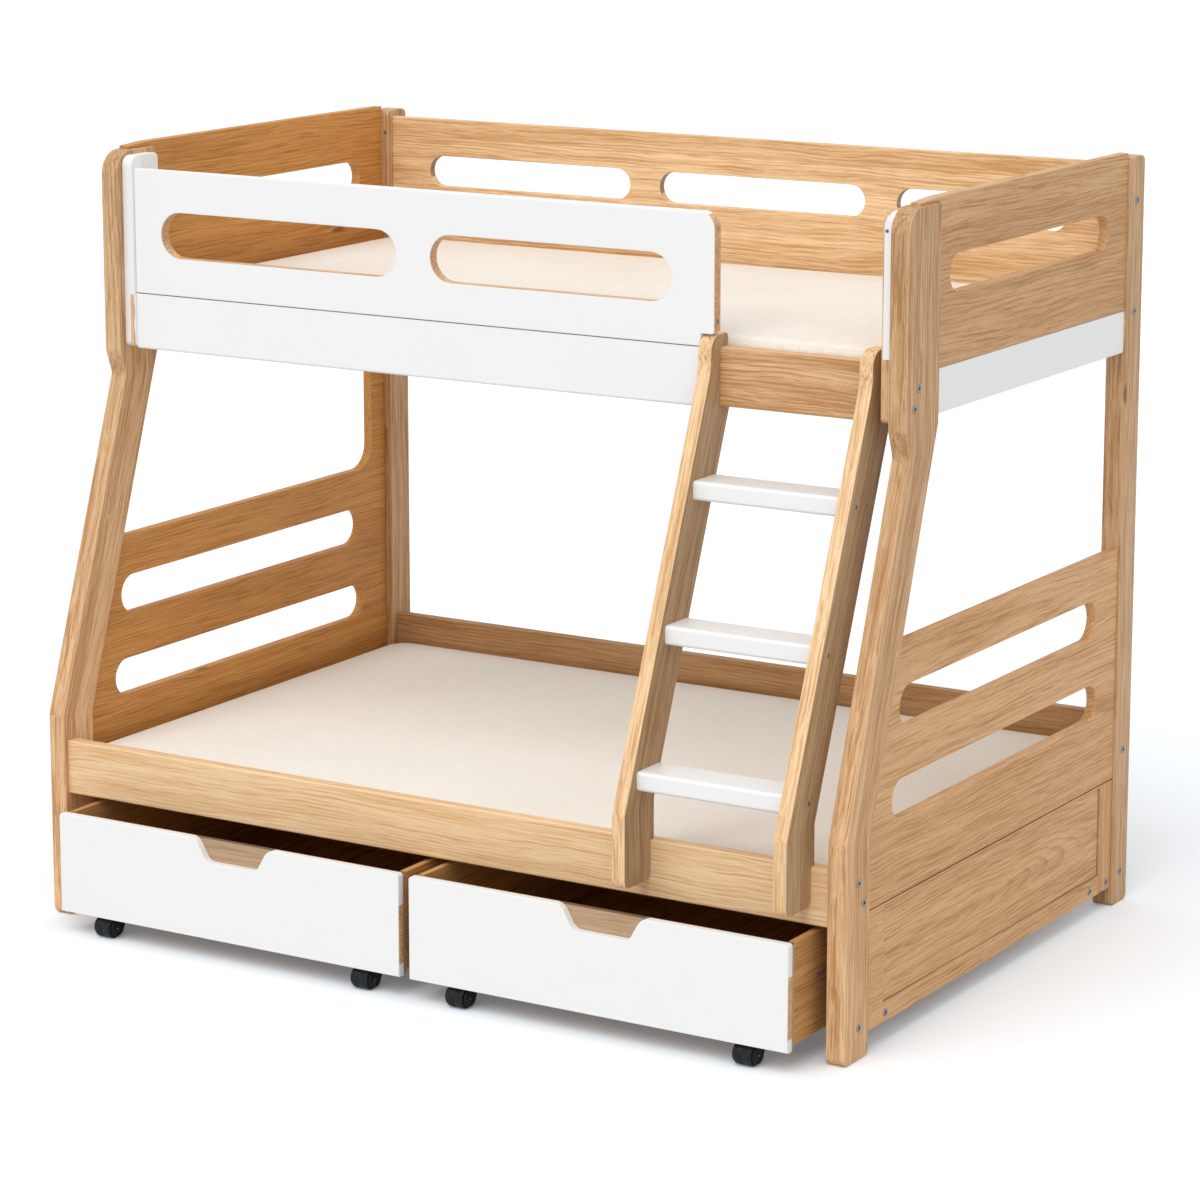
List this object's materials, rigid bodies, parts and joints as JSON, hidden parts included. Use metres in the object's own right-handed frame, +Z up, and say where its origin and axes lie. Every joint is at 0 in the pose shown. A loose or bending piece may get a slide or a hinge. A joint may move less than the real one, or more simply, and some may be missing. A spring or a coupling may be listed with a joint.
{
  "type": "bunk bed with drawers",
  "caption": "Wooden bunk bed with a wide lower bunk, a narrower upper bunk behind a slotted guard, a leaning ladder and roll-out drawers on castors underneath.",
  "frame": {"origin": "centre of the bounding box in plan, on the floor", "axes": "+X along the bed to the end with the ladder, +Y from the ladder side to the back, +Z up"},
  "size_m": [2.08, 1.515, 1.768],
  "materials": {
    "oak": "satin lacquered light wood",
    "white_lacquer": "satin white lacquer on wood",
    "drawer_wood": "matt light wood",
    "slat_wood": "sanded softwood",
    "cream_fabric": "fine woven cream cover",
    "black_plastic": "moulded black plastic",
    "steel": "zinc plated steel"
  },
  "bodies": {
    "frame": {"leg_front_left": "oak", "post_back_left": "oak", "upper_end_panel_left": "oak", "upper_end_rail_left": "white_lacquer", "lower_end_panel_left": "oak", "kick_board_left": "oak", "kick_cleat_left": "oak", "cheek_board_left": "white_lacquer", "leg_front_right": "oak", "post_back_right": "oak", "upper_end_panel_right": "oak", "upper_end_rail_right": "white_lacquer", "lower_end_panel_right": "oak", "kick_board_right": "oak", "kick_cleat_right": "oak", "cheek_board_right": "white_lacquer", "upper_front_rail": "oak", "upper_front_fascia": "white_lacquer", "guard_rail": "white_lacquer", "upper_back_panel": "oak", "upper_back_rail": "oak", "lower_front_rail": "oak", "lower_back_rail": "oak", "lower_slat_deck": "slat_wood", "upper_slat_deck": "slat_wood", "lower_mattress": "cream_fabric", "upper_mattress": "cream_fabric", "ladder_stile_left": "oak", "ladder_stile_right": "oak", "ladder_tread_1": "white_lacquer", "ladder_tread_2": "white_lacquer", "ladder_tread_3": "white_lacquer"},
    "drawer_left": {"drawer_left_front": "white_lacquer", "drawer_left_inner_front": "drawer_wood", "drawer_left_side_left": "drawer_wood", "drawer_left_side_right": "drawer_wood", "drawer_left_back": "drawer_wood", "drawer_left_floor": "drawer_wood", "drawer_left_front_left_fork": "black_plastic", "drawer_left_front_right_fork": "black_plastic", "drawer_left_back_left_fork": "black_plastic", "drawer_left_back_right_fork": "black_plastic"},
    "drawer_right": {"drawer_right_front": "white_lacquer", "drawer_right_inner_front": "drawer_wood", "drawer_right_side_left": "drawer_wood", "drawer_right_side_right": "drawer_wood", "drawer_right_back": "drawer_wood", "drawer_right_floor": "drawer_wood", "drawer_right_front_left_fork": "black_plastic", "drawer_right_front_right_fork": "black_plastic", "drawer_right_back_left_fork": "black_plastic", "drawer_right_back_right_fork": "black_plastic"},
    "drawer_left_front_left_wheel": {"drawer_left_front_left_wheel": "black_plastic"},
    "drawer_left_front_right_wheel": {"drawer_left_front_right_wheel": "black_plastic"},
    "drawer_left_back_left_wheel": {"drawer_left_back_left_wheel": "black_plastic"},
    "drawer_left_back_right_wheel": {"drawer_left_back_right_wheel": "black_plastic"},
    "drawer_right_front_left_wheel": {"drawer_right_front_left_wheel": "black_plastic"},
    "drawer_right_front_right_wheel": {"drawer_right_front_right_wheel": "black_plastic"},
    "drawer_right_back_left_wheel": {"drawer_right_back_left_wheel": "black_plastic"},
    "drawer_right_back_right_wheel": {"drawer_right_back_right_wheel": "black_plastic"}
  },
  "joints": [
    {"name": "drawer_left_slide", "type": "slide", "parent": "frame", "child": "drawer_left", "axis": [0, -1, 0], "range_m": [-0.117, 0.5]},
    {"name": "drawer_right_slide", "type": "slide", "parent": "frame", "child": "drawer_right", "axis": [0, -1, 0], "range_m": [-0.117, 0.5]},
    {"name": "drawer_left_front_left_wheel_spin", "type": "hinge", "parent": "drawer_left", "child": "drawer_left_front_left_wheel", "pos_m": [-0.817, -0.7325, 0.0243], "axis": [1, 0, 0], "continuous": true},
    {"name": "drawer_left_front_right_wheel_spin", "type": "hinge", "parent": "drawer_left", "child": "drawer_left_front_right_wheel", "pos_m": [-0.105, -0.7325, 0.0243], "axis": [1, 0, 0], "continuous": true},
    {"name": "drawer_left_back_left_wheel_spin", "type": "hinge", "parent": "drawer_left", "child": "drawer_left_back_left_wheel", "pos_m": [-0.817, -0.0575, 0.0243], "axis": [1, 0, 0], "continuous": true},
    {"name": "drawer_left_back_right_wheel_spin", "type": "hinge", "parent": "drawer_left", "child": "drawer_left_back_right_wheel", "pos_m": [-0.105, -0.0575, 0.0243], "axis": [1, 0, 0], "continuous": true},
    {"name": "drawer_right_front_left_wheel_spin", "type": "hinge", "parent": "drawer_right", "child": "drawer_right_front_left_wheel", "pos_m": [0.144, -0.7325, 0.0243], "axis": [1, 0, 0], "continuous": true},
    {"name": "drawer_right_front_right_wheel_spin", "type": "hinge", "parent": "drawer_right", "child": "drawer_right_front_right_wheel", "pos_m": [0.856, -0.7325, 0.0243], "axis": [1, 0, 0], "continuous": true},
    {"name": "drawer_right_back_left_wheel_spin", "type": "hinge", "parent": "drawer_right", "child": "drawer_right_back_left_wheel", "pos_m": [0.144, -0.0575, 0.0243], "axis": [1, 0, 0], "continuous": true},
    {"name": "drawer_right_back_right_wheel_spin", "type": "hinge", "parent": "drawer_right", "child": "drawer_right_back_right_wheel", "pos_m": [0.856, -0.0575, 0.0243], "axis": [1, 0, 0], "continuous": true}
  ],
  "couplings": [
    {"joint": "drawer_left_front_left_wheel_spin", "follows": "drawer_left_slide", "rad_per_m": 41.667},
    {"joint": "drawer_left_front_right_wheel_spin", "follows": "drawer_left_slide", "rad_per_m": 41.667},
    {"joint": "drawer_left_back_left_wheel_spin", "follows": "drawer_left_slide", "rad_per_m": 41.667},
    {"joint": "drawer_left_back_right_wheel_spin", "follows": "drawer_left_slide", "rad_per_m": 41.667},
    {"joint": "drawer_right_front_left_wheel_spin", "follows": "drawer_right_slide", "rad_per_m": 41.667},
    {"joint": "drawer_right_front_right_wheel_spin", "follows": "drawer_right_slide", "rad_per_m": 41.667},
    {"joint": "drawer_right_back_left_wheel_spin", "follows": "drawer_right_slide", "rad_per_m": 41.667},
    {"joint": "drawer_right_back_right_wheel_spin", "follows": "drawer_right_slide", "rad_per_m": 41.667}
  ]
}
